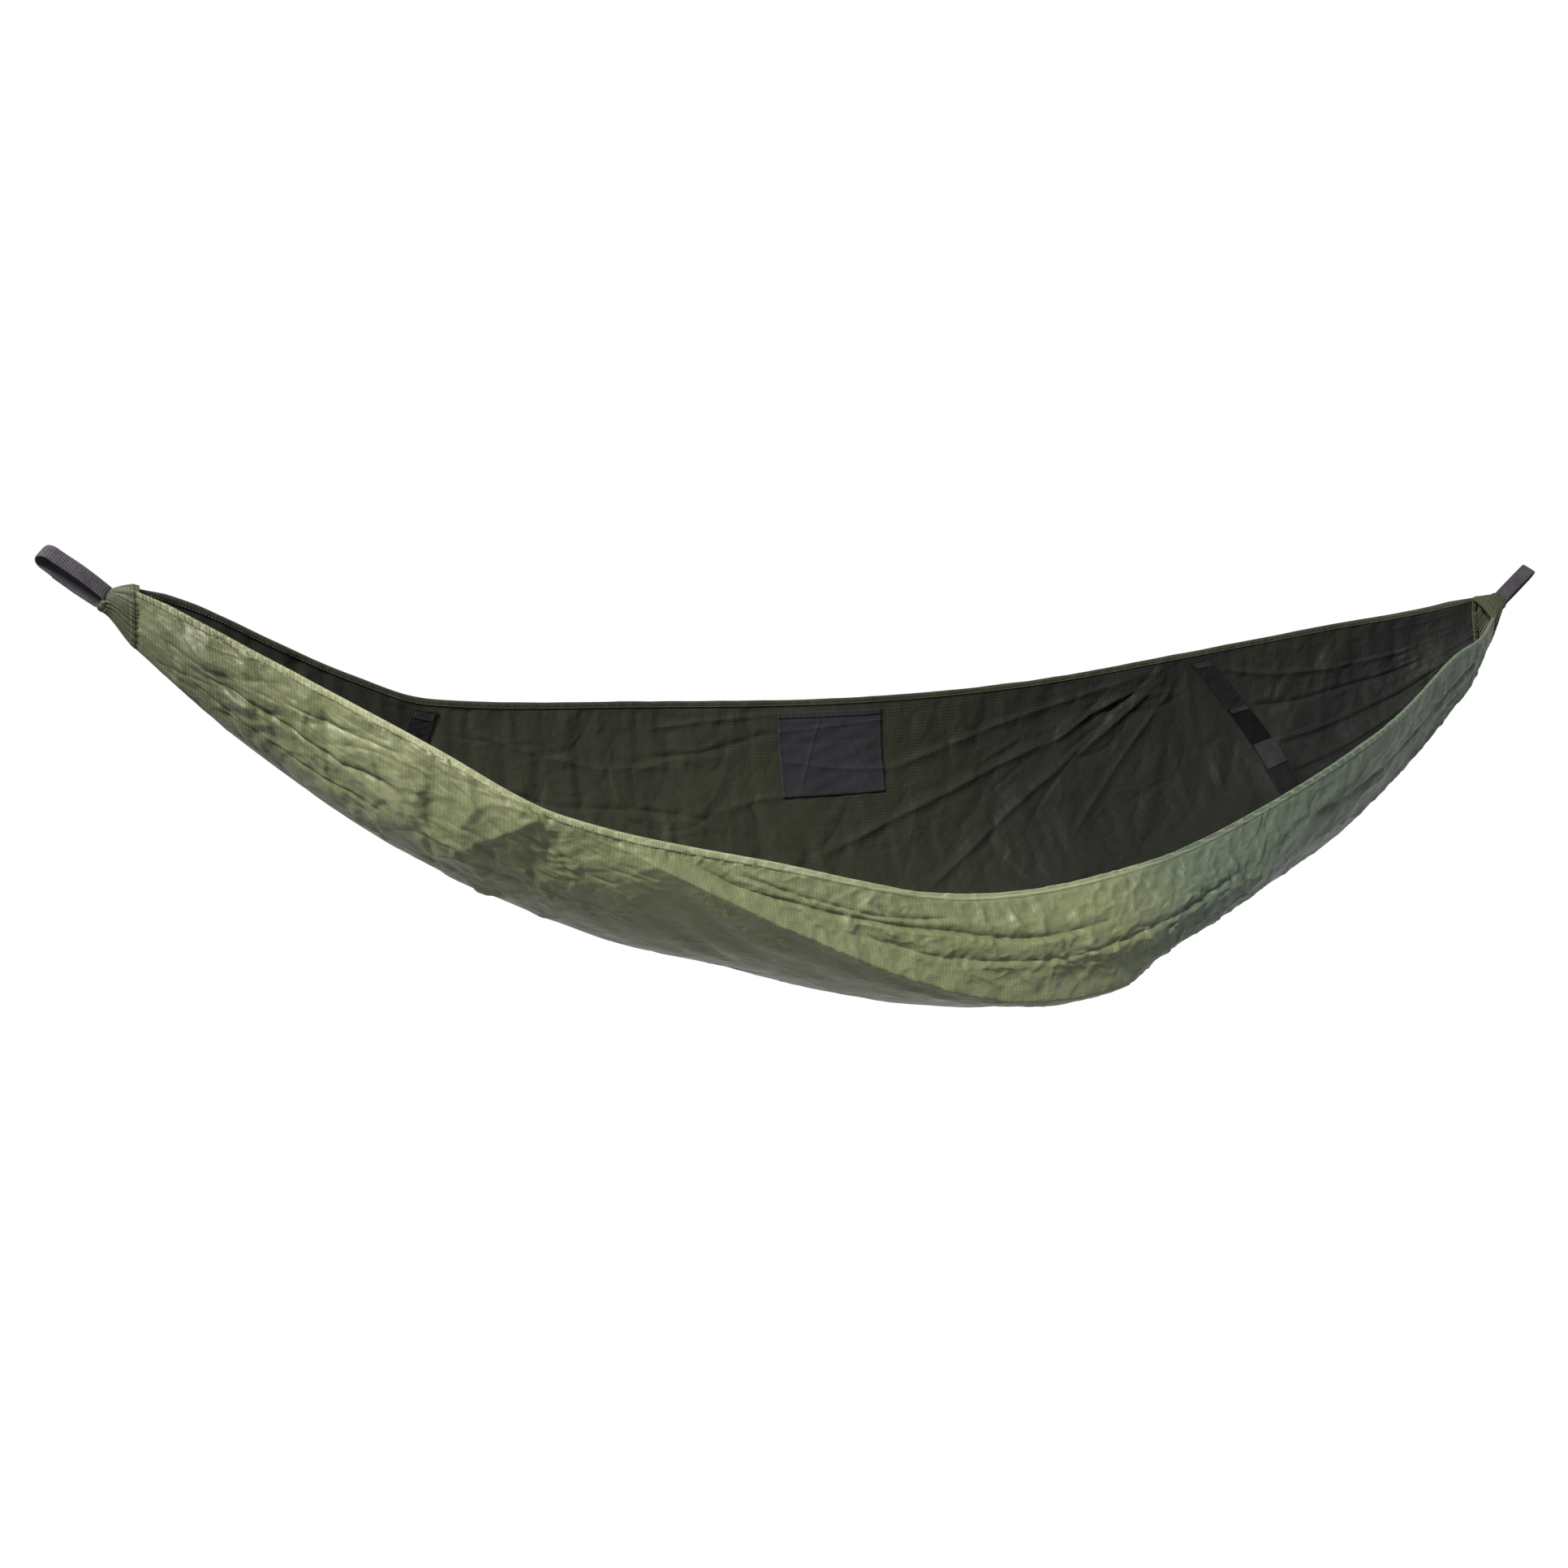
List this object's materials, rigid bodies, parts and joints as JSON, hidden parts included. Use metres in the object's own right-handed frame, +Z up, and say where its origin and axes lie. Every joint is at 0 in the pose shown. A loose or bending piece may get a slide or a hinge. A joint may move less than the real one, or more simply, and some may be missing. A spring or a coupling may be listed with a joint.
{
  "type": "camping hammock",
  "caption": "Gathered-end camping hammock: a long olive cloth trough with dark lining, inner pocket, cross straps and a webbing loop at each end.",
  "frame": {"origin": "centre of the left carry eye, where the left webbing loop takes its carabiner or hook", "axes": "+X along the hammock from the left eye to the right one, +Y from the front rim to the rear rim, +Z up as it hangs"},
  "size_m": [2.555, 0.6423, 0.6926],
  "materials": {
    "outer_fabric": "olive ripstop nylon",
    "lining": "black nylon",
    "hem": "rolled olive hem",
    "pocket_cloth": "black nylon",
    "loop_webbing": "ribbed black webbing",
    "pile_tape": "fuzzy pile tape",
    "hook_tape": "hook tape",
    "elastic_webbing": "ribbed elastic",
    "strap_webbing": "flat webbing",
    "thread": "bonded thread"
  },
  "bodies": {
    "bed": {"outer_shell": "outer_fabric", "inner_shell": "lining", "rear_rim_hem": "hem", "front_rim_hem": "hem", "pocket_panel": "pocket_cloth", "pocket_binding": "pocket_cloth", "left_end_channel": "outer_fabric", "left_channel_seam": "thread", "right_end_channel": "outer_fabric", "right_channel_seam": "thread", "left_strap_pile": "pile_tape", "left_strap_elastic": "elastic_webbing", "left_strap_front": "strap_webbing", "left_strap_seam": "thread", "left_strap_rear_tack": "thread", "left_strap_front_tack": "thread", "right_strap_pile": "pile_tape", "right_strap_elastic": "elastic_webbing", "right_strap_front": "strap_webbing", "right_strap_seam": "thread", "right_strap_rear_tack": "thread", "right_strap_front_tack": "thread"},
    "left_loop": {"left_webbing_loop": "loop_webbing", "left_loop_lap": "loop_webbing", "left_lap_stitching": "thread"},
    "left_tab": {"left_strap_hook_tab": "hook_tape"},
    "right_loop": {"right_webbing_loop": "loop_webbing", "right_loop_lap": "loop_webbing", "right_lap_stitching": "thread"},
    "right_tab": {"right_strap_hook_tab": "hook_tape"}
  },
  "joints": [
    {"name": "left_loop_swing", "type": "hinge", "parent": "bed", "child": "left_loop", "pos_m": [0.05673, 0, -0.04594], "axis": [0.445, 0.7071, 0.5495], "range_deg": [-30, 30]},
    {"name": "right_loop_swing", "type": "hinge", "parent": "bed", "child": "right_loop", "pos_m": [2.46673, 0, -0.05694], "axis": [-0.445, 0.7071, 0.5495], "range_deg": [-30, 30]},
    {"name": "left_tab_peel", "type": "hinge", "parent": "bed", "child": "left_tab", "pos_m": [0.44974, 0.09934, -0.36245], "axis": [-0.8561, -0.1941, 0.479], "range_deg": [0, 110]},
    {"name": "right_tab_peel", "type": "hinge", "parent": "bed", "child": "right_tab", "pos_m": [2.05169, 0.15497, -0.32337], "axis": [-0.9061, 0.2436, -0.3459], "range_deg": [0, 110]}
  ]
}
